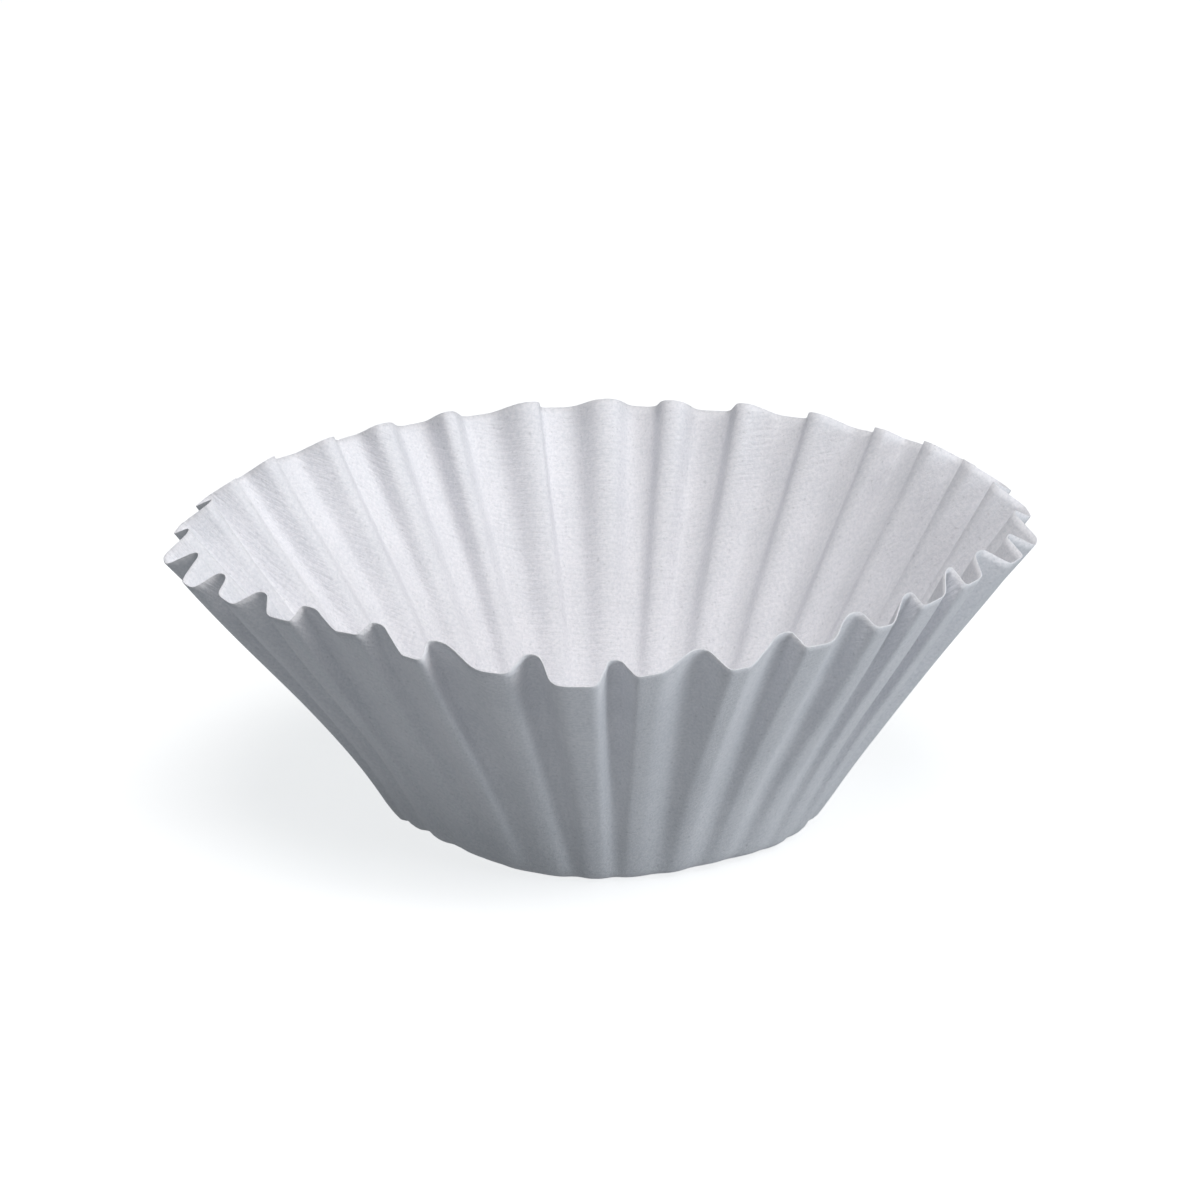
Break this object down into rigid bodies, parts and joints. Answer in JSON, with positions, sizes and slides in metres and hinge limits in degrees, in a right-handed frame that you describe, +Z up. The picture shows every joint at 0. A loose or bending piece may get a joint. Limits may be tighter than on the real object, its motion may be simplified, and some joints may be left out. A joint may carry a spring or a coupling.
{
  "type": "coffee filter",
  "caption": "Basket coffee filter pressed from one round sheet of white paper, with a flat round floor and a fluted, sloping wall.",
  "frame": {"origin": "centre of the floor's underside, on the plane that the filter stands on", "axes": "+Z up along the axis of the cup; the middle of one inner flute face lies in the half plane y = 0, x > 0"},
  "size_m": [0.1608, 0.1608, 0.0587],
  "materials": {
    "filter_paper": "matte crepe paper"
  },
  "bodies": {
    "root": {"filter_sheet": "filter_paper"}
  },
  "joints": []
}
